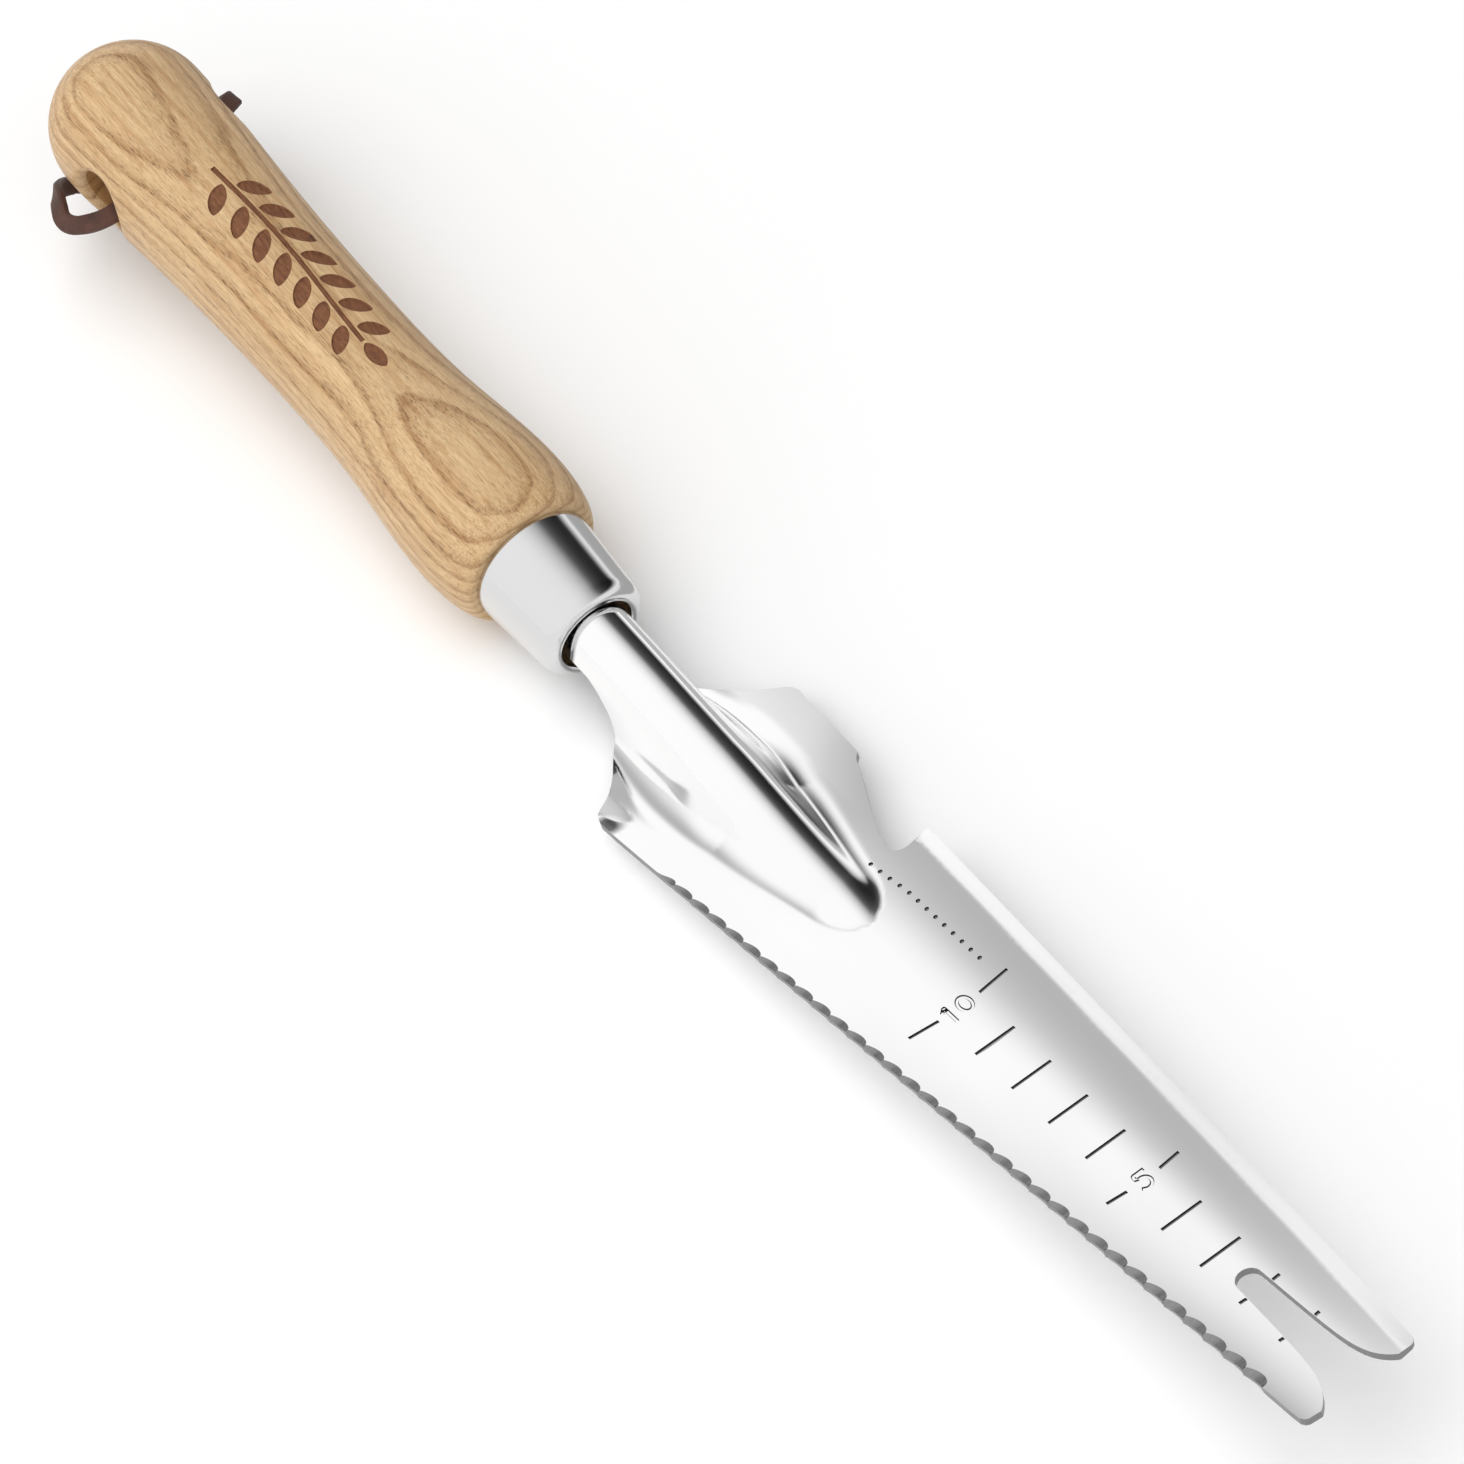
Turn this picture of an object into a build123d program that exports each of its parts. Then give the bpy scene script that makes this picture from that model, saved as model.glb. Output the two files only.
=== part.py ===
from build123d import *
from math import cos, radians, sin, tan
import os

os.makedirs("parts", exist_ok=True)

# ---------------------------------------------------------------------------
# Hori hori knife: a forked, dished blade pressed from stainless sheet, a
# turned ash handle with a steel ferrule, and a leather hanging thong.
# Millimetres.  +X runs towards the tip, +Z is up, and the knife lies on its
# back on a table: on the swell of the handle and the heel of the blade.
# ---------------------------------------------------------------------------

# How the knife lies
REST_TILT = 5.55  # degrees that the handle's axis comes down towards the blade
JOINT_X = -43.42  # where the wood meets the ferrule, on the handle's axis
JOINT_Z = 14.35

# Handle, turned about its axis; s is measured from the wood-ferrule joint
BUTT_S = -140.3
BUTT_R = 15.4
WAIST_S = -60.0
WAIST_R = 12.8
SWELL_S = -12.5
SWELL_R = 15.4
SHOULDER_R = 12.3  # radius of the flat that the ferrule stands against
TENON_L = 12.5

# Hanging hole across the butt
HOLE_S = -114.3
HOLE_R = 6.0
HOLE_ROUND = 2.0

# Ferrule
FERRULE_REAR_R = 11.6
FERRULE_TAPER = 0.072  # loss of radius per millimetre
FERRULE_WALL = 1.1
FERRULE_L = 19.6
MOUTH_R = 7.2

# Tang
TANG_R = 4.9
TANG_REAR_S = -74.0
TANG_FRONT_S = 34.0
TANG_POINT = 5.0

# Blade; k is measured from the zero of the rule towards the handle
BLADE_PITCH = 12.78  # degrees that the blade rises from the handle's axis
TIP_S = 219.2  # the zero of the rule, along the axis
TIP_RISE = 32.08  # and above it
SHEET = 1.5
TIP_HALF_WIDTH = 11.3
WIDENING = 0.0535  # gain of half width per millimetre towards the handle
TIP_BEND_R = 44.0  # radius of the trough at the tip
BEND_GAIN = 0.16  # gain of that radius per millimetre towards the handle
HEEL_K = 176.0
NECK_R = 6.6
NECK_REAR_S = 13.0
NECK_EDGE = (26.0, -0.5)  # the neck's lower edge is level as far as here (s, rise)
HEEL_EDGE = (36.5, -13.0)  # then it sweeps down to the heel
RIDGE_END_S = 97.0  # the rounded nose of the ridge
RIDGE_ROUND = 5.0
ROOT_ROUND = 2.0  # fillet where the ridge meets the trough

# Fork and twine notch
PRONG_END = 5.2  # beyond the zero of the rule
FORK_ROOT_K = 22.6
FORK_R = 2.3
NOTCH_FRONT_K = 133.3
NOTCH_REAR_K = 155.6
NOTCH_BOTTOM_Y = 11.3

# Edges and marks
TEETH = 33
TOOTH_PITCH = 4.7
FIRST_TOOTH_K = 6.5
TOOTH_R = 4.0
TOOTH_BITE = 0.9
TOOTH_LEAN = 40
BEVEL_WIDTH = 3.1
EDGE_LEFT = 0.45  # thickness left at the bevelled edge
MARK_WIDTH = 0.5
MARK_DEPTH = 0.15
MARK_HALF = 3.95

# Thong: a flat strap, drawn as a tube of its width
THONG_D = 3.4
KNOT_R = 3.9
TAIL_L = 12.5
TAIL_WIDTH = 3.2
TAIL_THICK = 1.5

# ---------------------------------------------------------------------------
# Frames
# ---------------------------------------------------------------------------
tilt = radians(REST_TILT)
along = Vector(cos(tilt), 0, -sin(tilt))
upward = Vector(sin(tilt), 0, cos(tilt))
joint = Vector(JOINT_X, 0, JOINT_Z)
handle_axis = Axis(joint, along)
handle_side = Plane(origin=joint, x_dir=along, z_dir=(0, -1, 0))  # x = s, y = radius


def on_axis(s, rise=0.0):
    """The point s along the handle's axis, and rise above it."""
    return joint + along * s + upward * rise


def across(s):
    """The plane square to the handle's axis at s, with x to +Y and y up."""
    return Plane(origin=on_axis(s), x_dir=(0, 1, 0), z_dir=along)


blade_rise = radians(BLADE_PITCH - REST_TILT)
blade_along = Vector(cos(blade_rise), 0, sin(blade_rise))
blade_up = Vector(-sin(blade_rise), 0, cos(blade_rise))
tip = on_axis(TIP_S, TIP_RISE)
blade_plan = Plane(origin=tip, x_dir=blade_along, z_dir=blade_up)  # x = -k


def blade_section(k):
    """The plane square to the blade at k, with x to +Y and y up."""
    return Plane(origin=tip - blade_along * k, x_dir=(0, 1, 0), z_dir=blade_along)


def half_width(k):
    return TIP_HALF_WIDTH + WIDENING * k


def bend_radius(k):
    return TIP_BEND_R + BEND_GAIN * k


def face_height(k, y):
    """Height of the trough's upper face above its middle line."""
    bend = bend_radius(k)
    return bend - (bend**2 - y**2) ** 0.5


# ---------------------------------------------------------------------------
# Handle
# ---------------------------------------------------------------------------
def tenon_radius(s):
    return FERRULE_REAR_R - FERRULE_WALL - FERRULE_TAPER * s


with BuildPart() as handle:
    with BuildSketch(handle_side):
        with BuildLine():
            centre = BUTT_S + BUTT_R
            dome = CenterArc((centre, 0), BUTT_R, 90, 90)
            body = Spline(
                (centre, BUTT_R),
                (-94, 13.85),
                (WAIST_S, WAIST_R),
                (-36, 13.45),
                (SWELL_S, SWELL_R),
                tangents=[(1, 0), (1, 0)],
            )
            shoulder = EllipticalCenterArc(
                (SWELL_S, SHOULDER_R), -SWELL_S, SWELL_R - SHOULDER_R, arc_size=90
            )
            Polyline(
                (0, SHOULDER_R),
                (0, tenon_radius(0)),
                (TENON_L, tenon_radius(TENON_L)),
                (TENON_L, 0),
                (BUTT_S, 0),
            )
        make_face()
    revolve(axis=handle_axis)
    # bore for the tang, with a drill's conical end
    with BuildSketch(handle_side):
        with BuildLine():
            Polyline(
                (TENON_L, 0),
                (TENON_L, TANG_R),
                (TANG_REAR_S, TANG_R),
                (TANG_REAR_S - TANG_POINT, 0),
                close=True,
            )
        make_face()
    revolve(axis=handle_axis, mode=Mode.SUBTRACT)
    # hanging hole, rounded at both mouths
    with BuildSketch(Plane(origin=on_axis(HOLE_S), x_dir=along, z_dir=(0, 1, 0))):
        Circle(HOLE_R)
    extrude(amount=20, both=True, mode=Mode.SUBTRACT)
    mouths = [e for e in handle.edges() if (e.center() - on_axis(HOLE_S)).length > 8]
    mouths = [e for e in mouths if e.bounding_box().size.X < 2.2 * HOLE_R]
    mouths = [e for e in mouths if abs((e.center() - on_axis(HOLE_S)).X) < HOLE_R]
    fillet(mouths, HOLE_ROUND)
handle.part.label = "handle"
export_step(handle.part, "parts/handle.step")

# ---------------------------------------------------------------------------
# Ferrule: a spun cup with a rolled lip
# ---------------------------------------------------------------------------
with BuildPart() as ferrule:
    taper_end = FERRULE_L - 3.0
    outer_r = FERRULE_REAR_R - FERRULE_TAPER * taper_end
    with BuildSketch(handle_side):
        with BuildLine():
            side = Line((0, FERRULE_REAR_R), (taper_end, outer_r))
            lip = TangentArc(side @ 1, (FERRULE_L, outer_r - 2.2), tangent=(1, -FERRULE_TAPER))
            roll = ThreePointArc(
                lip @ 1, (FERRULE_L - 0.25, outer_r - 2.9), (FERRULE_L - 1.1, MOUTH_R)
            )
            Polyline(
                roll @ 1,
                (FERRULE_L - 2.4, MOUTH_R),
                (FERRULE_L - 2.9, tenon_radius(taper_end) - 0.9),
                (taper_end - 1.2, tenon_radius(taper_end - 1.2)),
                (0, tenon_radius(0)),
                (0, FERRULE_REAR_R),
            )
        make_face()
    revolve(axis=handle_axis)
ferrule.part.label = "ferrule"
export_step(ferrule.part, "parts/ferrule.step")

# ---------------------------------------------------------------------------
# Tang: a round rod on the handle's axis, pointed at the wood end
# ---------------------------------------------------------------------------
with BuildPart() as tang:
    with BuildSketch(handle_side):
        with BuildLine():
            Polyline(
                (TANG_REAR_S - TANG_POINT, 0),
                (TANG_REAR_S, TANG_R),
                (TANG_FRONT_S - 1, TANG_R),
                (TANG_FRONT_S, TANG_R - 1),
                (TANG_FRONT_S, 0),
                close=True,
            )
        make_face()
    revolve(axis=handle_axis)
tang.part.label = "tang"
export_step(tang.part, "parts/tang.step")


# ---------------------------------------------------------------------------
# Blade
# ---------------------------------------------------------------------------
def layer(k, above, below):
    """A band at k between two levels measured from the trough's upper face."""
    reach = half_width(k) + 3
    bend = bend_radius(k)
    with BuildSketch(blade_section(k)) as band:
        with BuildLine():
            ends = []
            for level in (above, -below):
                radius = bend - level
                side_y = bend - (radius**2 - reach**2) ** 0.5
                ThreePointArc((-reach, side_y), (0, level), (reach, side_y))
                ends.append(side_y)
            for y in (-reach, reach):
                Line((y, ends[0]), (y, ends[1]))
        make_face()
    return band.sketch


def channel(radius):
    """The hat-shaped section of the neck and ridge."""
    with BuildSketch(across(NECK_REAR_S)) as section:
        Circle(radius)
        with Locations((0, -10)):
            Rectangle(2 * radius, 20)
    return section.sketch


REAR_K = 225.0
FRONT_K = -10.0
TALL = 26.0

with BuildPart() as ridge:
    extrude(channel(NECK_R), amount=RIDGE_END_S - NECK_REAR_S)
    fillet(ridge.faces().sort_by(handle_axis)[-1].edges(), RIDGE_ROUND)
    # only what stands above the sheet's underside
    with BuildPart(mode=Mode.PRIVATE) as above:
        for k in (FRONT_K, REAR_K):
            add(layer(k, TALL, SHEET))
        loft(ruled=True)
    add(above.part, mode=Mode.INTERSECT)

with BuildPart() as hollow:
    inner_r = NECK_R - SHEET
    extrude(channel(inner_r), amount=RIDGE_END_S - SHEET - NECK_REAR_S)
    fillet(hollow.faces().sort_by(handle_axis)[-1].edges(), RIDGE_ROUND - SHEET)

with BuildPart() as graduations:
    for k in (FRONT_K, REAR_K):
        add(layer(k, 1.0, MARK_DEPTH))
    loft(ruled=True)
    with BuildSketch(blade_plan):
        for k in (3, 4, 6, 7, 8, 9):
            with Locations((-10 * k, 0)):
                Rectangle(MARK_WIDTH, 2 * MARK_HALF)
        # the 5 and 10 are split lines with room for the figure between them
        for k, inner, outer in ((5, 3.2, 7.1), (10, 4.1, 10.0)):
            for side in (-1, 1):
                with Locations((-10 * k, side * (inner + outer) / 2)):
                    Rectangle(MARK_WIDTH, outer - inner)
        for k in (1, 2):
            for side in (-1, 1):
                with Locations((-10 * k, side * 3.4)):
                    Rectangle(MARK_WIDTH, 1.6)
    extrude(amount=5, both=True, mode=Mode.INTERSECT)

with BuildPart() as bevel:
    # the wedge that is ground off the plain edge
    for k in (FRONT_K, NOTCH_FRONT_K + 3):
        edge_y = half_width(k)
        inner_y = edge_y - BEVEL_WIDTH
        inner_z = face_height(k, inner_y)
        edge_z = face_height(k, edge_y) - SHEET + EDGE_LEFT
        slope = (edge_z - inner_z) / BEVEL_WIDTH
        with BuildSketch(blade_section(k)):
            Polygon(
                (inner_y, inner_z),
                (edge_y + 2, edge_z + 2 * slope),
                (edge_y + 2, edge_z + 4),
                (inner_y, inner_z + 4),
                align=None,
            )
    loft(ruled=True)

with BuildPart() as teeth:
    # a leaning cylinder bites each scallop out of the edge's upper corner
    for i in range(TEETH):
        k = FIRST_TOOTH_K + i * TOOTH_PITCH
        edge_y = -half_width(k)
        lean = radians(TOOTH_LEAN)
        reach = TOOTH_R - TOOTH_BITE
        place = Plane(
            origin=blade_plan.from_local_coords(
                Vector(-k, edge_y - reach * cos(lean), face_height(k, edge_y) + reach * sin(lean))
            ),
            x_dir=blade_along,
            z_dir=Vector(0, sin(lean), 0) + blade_up * cos(lean),
        )
        with BuildSketch(place):
            Circle(TOOTH_R)
        extrude(amount=5, both=True)

with BuildPart() as blade:
    for k in (FRONT_K, REAR_K):
        add(layer(k, 0, SHEET))
    loft(ruled=True)
    add(ridge.part)
    root = blade.edges(Select.NEW).filter_by(lambda e: e.center().X > 0)
    fillet(root, ROOT_ROUND)
    # the plan outline
    with BuildSketch(blade_plan):
        with BuildLine():
            half = FilletPolyline(
                (-REAR_K, NECK_R),
                (-192.0, NECK_R),
                (-184.5, 13.0),
                (-178.6, 18.4),
                (-HEEL_K, half_width(HEEL_K)),
                (PRONG_END, half_width(-PRONG_END)),
                (PRONG_END, 5.0),
                radius=1.2,
            )
            mirror(half, about=Plane.XZ)
            Line((-REAR_K, -NECK_R), (-REAR_K, NECK_R))
            Line((PRONG_END, -5.0), (PRONG_END, 5.0))
        make_face()
    extrude(amount=40, both=True, mode=Mode.INTERSECT)
    # fork slot and twine notch
    with BuildSketch(blade_plan):
        with BuildLine():
            root_arc = ThreePointArc(
                (-FORK_ROOT_K, FORK_R), (-FORK_ROOT_K - FORK_R, 0), (-FORK_ROOT_K, -FORK_R)
            )
            for side in (-1, 1):
                Line((-FORK_ROOT_K, side * FORK_R), (-6, side * 3.1))
                ThreePointArc(
                    (-6, side * 3.1), (0.2, side * 4.3), (PRONG_END, side * 7.4)
                )
                Line((PRONG_END, side * 7.4), (PRONG_END + 2, side * 9.5))
            Line((PRONG_END + 2, -9.5), (PRONG_END + 2, 9.5))
        make_face()
        notch = Polygon(
            (-NOTCH_REAR_K, half_width(NOTCH_REAR_K)),
            (-NOTCH_REAR_K, 30),
            (-NOTCH_FRONT_K - 0.6, 30),
            (-NOTCH_FRONT_K, NOTCH_BOTTOM_Y),
            (-NOTCH_FRONT_K - 4.0, NOTCH_BOTTOM_Y),
            align=None,
        )
    extrude(amount=20, both=True, mode=Mode.SUBTRACT)
    add(bevel.part, mode=Mode.SUBTRACT)
    add(teeth.part, mode=Mode.SUBTRACT)
    add(hollow.part, mode=Mode.SUBTRACT)
    add(graduations.part, mode=Mode.SUBTRACT)
    # the neck is open below the axis, and its sides sweep down to the heel
    with BuildSketch(handle_side):
        with BuildLine():
            sweep_up = ThreePointArc(NECK_EDGE, (32, -4.5), HEEL_EDGE)
            Polyline(
                sweep_up @ 0,
                (NECK_REAR_S - 40, NECK_EDGE[1]),
                (NECK_REAR_S - 40, -40),
                (HEEL_EDGE[0], -40),
                sweep_up @ 1,
            )
        make_face()
    extrude(amount=30, both=True, mode=Mode.SUBTRACT)
    split(bisect_by=across(NECK_REAR_S), keep=Keep.TOP)
blade.part.label = "blade"
export_step(blade.part, "parts/blade.step")

# ---------------------------------------------------------------------------
# Weld: a bead between the tang's end and the roof of the neck
# ---------------------------------------------------------------------------
with BuildPart() as neck_weld:
    roof = NECK_R - SHEET
    with BuildSketch(handle_side):
        Polygon(
            (TANG_FRONT_S - 1, TANG_R),
            (TANG_FRONT_S, TANG_R - 1),
            (TANG_FRONT_S, TANG_R - 2.6),
            (TANG_FRONT_S + 2.4, roof),
            (TANG_FRONT_S - 1, roof),
            align=None,
        )
    revolve(axis=handle_axis, revolution_arc=75)
    mirror(about=handle_side)
neck_weld.part.label = "neck_weld"
export_step(neck_weld.part, "parts/neck_weld.step")

# ---------------------------------------------------------------------------
# Thong: from its knot, through the hanging hole and back to the knot
# ---------------------------------------------------------------------------
hole = on_axis(HOLE_S)
KNOT = (-22.0, 0.0, -21.45)  # from the middle of the hole
THONG_ROUTE = [  # from the middle of the hole
    (-21.6, -3.4, -21.6), (-21.8, -9.3, -16.6), (-18.0, -15.3, -10.0), (-10.4, -18.4, -3.8),
    (-3.0, -21.5, -3.6), (3.2, -16.0, -1.0), (2.8, -9.0, -0.6), (1.5, 0.0, -1.0),
    (-1.5, 9.0, -0.8), (-4.3, 17.0, -0.5), (-8.0, 18.8, -4.6), (-13.4, 17.0, -10.3),
    (-18.2, 12.6, -15.5), (-21.5, 8.0, -20.0), (-21.6, 3.4, -21.6),
]
route = [hole + Vector(*point) for point in THONG_ROUTE]


def bend_radii(points):
    """The largest tangent arcs: 0.45 of the shorter run over the tangent of half the turn."""
    radii = []
    for before, here, after in zip(points, points[1:], points[2:]):
        run_in, run_out = here - before, after - here
        half_turn = radians(run_in.get_angle(run_out) / 2)
        radii.append(0.45 * min(run_in.length, run_out.length) / tan(half_turn))
    return radii


radii = bend_radii(route)
print("thong radii", [round(r, 1) for r in radii])
with BuildPart() as thong:
    with BuildLine():
        path = FilletPolyline(*route, radius=radii)
    with BuildSketch(Plane(origin=path @ 0, z_dir=path % 0)):
        Circle(THONG_D / 2)
    sweep(path=path)
print("thong length", round(path.length, 1))
thong.part.label = "thong"
export_step(thong.part, "parts/thong.step")

with BuildPart() as thong_knot:
    with Locations(hole + Vector(*KNOT)):
        Sphere(KNOT_R)
    # two flat tails lie side by side, away from the handle
    for side in (-1, 1):
        with BuildSketch(Plane(origin=hole + Vector(KNOT[0] - 1, side * 1.2, KNOT[2] - KNOT_R))):
            with Locations((-TAIL_L / 2, 0)):
                Rectangle(TAIL_L, TAIL_WIDTH, rotation=side * -6)
        extrude(amount=TAIL_THICK)
    add(thong.part, mode=Mode.SUBTRACT)
thong_knot.part.label = "thong_knot"
export_step(thong_knot.part, "parts/thong_knot.step")
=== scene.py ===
from math import cos, hypot, pi, radians, sin, tan

import bmesh
import bpy
import numpy as np
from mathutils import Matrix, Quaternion, Vector, kdtree
from mathutils.geometry import delaunay_2d_cdt


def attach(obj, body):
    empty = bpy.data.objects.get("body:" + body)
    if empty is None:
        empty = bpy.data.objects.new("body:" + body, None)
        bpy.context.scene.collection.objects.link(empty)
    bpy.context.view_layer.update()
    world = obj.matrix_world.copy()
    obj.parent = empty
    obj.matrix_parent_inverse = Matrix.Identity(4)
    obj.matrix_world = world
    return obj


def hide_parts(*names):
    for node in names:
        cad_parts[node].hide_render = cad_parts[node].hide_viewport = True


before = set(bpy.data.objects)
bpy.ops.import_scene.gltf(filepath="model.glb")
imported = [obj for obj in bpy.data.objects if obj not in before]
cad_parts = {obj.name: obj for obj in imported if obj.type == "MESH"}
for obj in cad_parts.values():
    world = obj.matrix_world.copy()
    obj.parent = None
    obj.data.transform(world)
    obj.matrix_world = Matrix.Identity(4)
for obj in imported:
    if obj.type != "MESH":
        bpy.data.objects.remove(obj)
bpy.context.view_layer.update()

# ---- Sizes, in millimetres and degrees ----
# Meshes are worked out in millimetres in the row frame and scaled once, when they are made.
MM = 0.001

# How the knife lies: s runs along the handle's axis from the wood-ferrule joint
TILT = radians(5.55)
JOINT = np.array((-43.42, 0.0, 14.35))
ALONG = np.array((cos(TILT), 0.0, -sin(TILT)))
UPWARD = np.array((sin(TILT), 0.0, cos(TILT)))
SIDE = np.array((0.0, 1.0, 0.0))

# Handle
BUTT_R = 15.4
BUTT_CENTRE = -124.9
WAIST = [(-94.0, 13.85), (-60.0, 12.8), (-36.0, 13.45)]
SWELL_S, SWELL_R = -12.5, 15.4
SHOULDER_R = 12.3
TENON_R, TENON_L = 10.4, 12.5
HOLE_S, HOLE_R, HOLE_ROUND = -114.3, 6.0, 2.0
MOUTH_LEAST_Y = 5.0  # the hole's mouths are further out than this
PITH_BELOW, PITH_RIGHT, RING_SPACING = 58.0, 2.5, 2.25
TWIG_START, TWIG_END = -96.5, -49.5
FIRST_LEAVES, LAST_LEAVES, LEAF_PAIRS = -93.0, -54.0, 7

# Ferrule
FERRULE_REAR_R, FERRULE_TAPER, FERRULE_WALL, FERRULE_L = 11.6, 0.072, 1.1, 19.6
MOUTH_R = 7.2
LIP_R, ROLL_R = 3.2, 0.85

# Blade: k runs from the zero of the rule towards the handle, y to the right
PITCH = radians(12.78)
TIP_S, TIP_RISE = 219.2, 32.08
SHEET = 1.5
NECK_R = 6.6
TIP_HALF_WIDTH, WIDENING = 11.3, 0.0535
PRONG_END = 5.2
NOSE_K = 125.2
FLAT_K = 123.0  # the sheet is bare of the ridge in front of this
NOTCH_FRONT_K, NOTCH_BEVEL_Y = 133.2, 15.3
BEVEL_WIDTH, BEVEL_DROP, BEVEL_EASE = 3.1, 0.85, 0.5
TEETH, TOOTH_PITCH, FIRST_TOOTH_K = 33, 4.7, 6.5
FACET_SLOPE = 0.6
MARK_WIDTH, MARK_DEPTH, MARK_HALF = 0.64, 0.25, 3.95
PEN_HALF = 0.36  # half the width of the numbers' lines
NUMBER_SPACING, NUMBER_HALF_K, NUMBER_HALF_Y = 50, 2.7, 3.1
DOTS, DOT_SPACING, FIRST_DOT = 13, 2.5, (105.5, 8.3)
DOT_R, DOT_FLOOR_R = 0.42, 0.28

# Thong
STRAP_WIDTH, STRAP_THICK = 3.4, 1.7
KNOT_LOOP_R = 3.0
KNOT_BAND, KNOT_CORE, TAIL_BAND = (2.9, 1.4), (3.6, 3.4), (3.0, 1.4)  # widths, thicknesses
TAIL_START, TAIL_END, TAIL_SPLAY = 2.0, 15.0, 7  # from the knot's middle, and in degrees


def in_row(s, y, rise):
    """Row-frame points from places on the handle's axis, in millimetres."""
    s, y, rise = (np.asarray(v, float)[..., None] for v in (s, y, rise))
    return JOINT + ALONG * s + SIDE * y + UPWARD * rise


def ring_points(s, radius, turns):
    """Points round the handle's axis, at angles from the top."""
    return list(in_row(np.full(len(turns), s), radius * np.sin(turns), radius * np.cos(turns)))


def full_turn(count):
    """Evenly spaced angles all round."""
    return np.linspace(0, 2 * pi, count, endpoint=False)


def smooth(v, low, high):
    """A smooth step from 0 at low to 1 at high."""
    t = np.clip((np.asarray(v, float) - low) / (high - low), 0, 1)
    return t * t * (3 - 2 * t)


# ---- Camera ----
AZIMUTH, ELEVATION, ROLL = radians(66.834), radians(52.077), radians(-15.846)
TARGET, DISTANCE, LENS = Vector((0.00745, 0.00537, 0.01131)), 1.09846, 161.5
back = Vector((sin(AZIMUTH) * cos(ELEVATION), -cos(AZIMUTH) * cos(ELEVATION), sin(ELEVATION)))
camera = bpy.data.objects.new("camera", bpy.data.cameras.new("camera"))
camera.data.lens = LENS
camera.data.clip_end = 50
camera.location = TARGET + back * DISTANCE
camera.rotation_mode = "QUATERNION"
camera.rotation_quaternion = (-back).to_track_quat("-Z", "Y") @ Quaternion((0, 0, 1), ROLL)
bpy.context.collection.objects.link(camera)
bpy.context.scene.camera = camera
bpy.context.scene.view_settings.view_transform = "Standard"


# ---- Node helper and materials ----
class Nodes:
    """A node tree, built one call at a time."""

    def __init__(self, tree):
        self.tree = tree

    def add(self, kind, inputs=(), **settings):
        node = self.tree.nodes.new("ShaderNode" + kind)
        for key, value in settings.items():
            setattr(node, key, value)
        for socket, value in dict(inputs).items():
            self.put(node.inputs[socket], value)
        return node

    def put(self, socket, value):
        if isinstance(value, bpy.types.NodeSocket):
            self.tree.links.new(value, socket)
        else:
            socket.default_value = value

    def math(self, operation, *values):
        return self.add("Math", enumerate(values), operation=operation).outputs[0]

    def ramp(self, factor, stops, interpolation="LINEAR"):
        node = self.add("ValToRGB", {"Fac": factor})
        node.color_ramp.interpolation = interpolation
        while len(node.color_ramp.elements) < len(stops):
            node.color_ramp.elements.new(0.5)
        for element, (place, colour) in zip(node.color_ramp.elements, stops):
            element.position = place
            element.color = (*colour, 1)
        return node.outputs[0]

    def mix(self, factor, one, other):
        node = self.add("Mix", data_type="RGBA")
        self.put(node.inputs[0], factor)
        self.put(node.inputs[6], one if not isinstance(one, tuple) else (*one, 1))
        self.put(node.inputs[7], other if not isinstance(other, tuple) else (*other, 1))
        return node.outputs[2]

    def span(self, value, low, high, new_low, new_high):
        node = self.add("MapRange", {0: value, 1: low, 2: high, 3: new_low, 4: new_high})
        return node.outputs[0]


class Shader(Nodes):
    """A material's node tree, over a Principled BSDF."""

    def __init__(self, name, **surface):
        self.material = bpy.data.materials.new(name)
        self.material.use_nodes = True
        super().__init__(self.material.node_tree)
        self.surface = self.tree.nodes["Principled BSDF"]
        for socket, value in surface.items():
            self.surface.inputs[socket.replace("_", " ")].default_value = value

    def millimetres(self, scale=(1, 1, 1)):
        """Places on the handle's axis in millimetres (along, across, up), then scaled."""
        origin = -np.array((JOINT @ ALONG, 0.0, JOINT @ UPWARD))
        place = self.add("TexCoord").outputs["Object"]
        turned = self.add(
            "Mapping",
            {"Vector": place, "Scale": (1 / MM,) * 3, "Rotation": (0, -TILT, 0), "Location": origin},
        )
        sized = self.add("VectorMath", {0: turned.outputs[0], 1: scale}, operation="MULTIPLY")
        return sized.outputs[0]

    def noise(self, scale, detail=3.0, roughness=0.5, offset=(0, 0, 0)):
        place = self.add("VectorMath", {0: self.millimetres(scale), 1: offset}).outputs[0]
        made = self.add(
            "TexNoise",
            {"Vector": place, "Scale": 1.0, "Detail": detail, "Roughness": roughness},
        )
        return made.outputs["Fac"]

    def bump(self, height, distance, strength=1.0):
        node = self.add(
            "Bump", {"Height": height, "Distance": distance * MM, "Strength": strength}
        )
        self.put(self.surface.inputs["Normal"], node.outputs[0])

    def finish(self, **links):
        for socket, value in links.items():
            self.put(self.surface.inputs[socket.replace("_", " ")], value)
        return self.material


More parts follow.
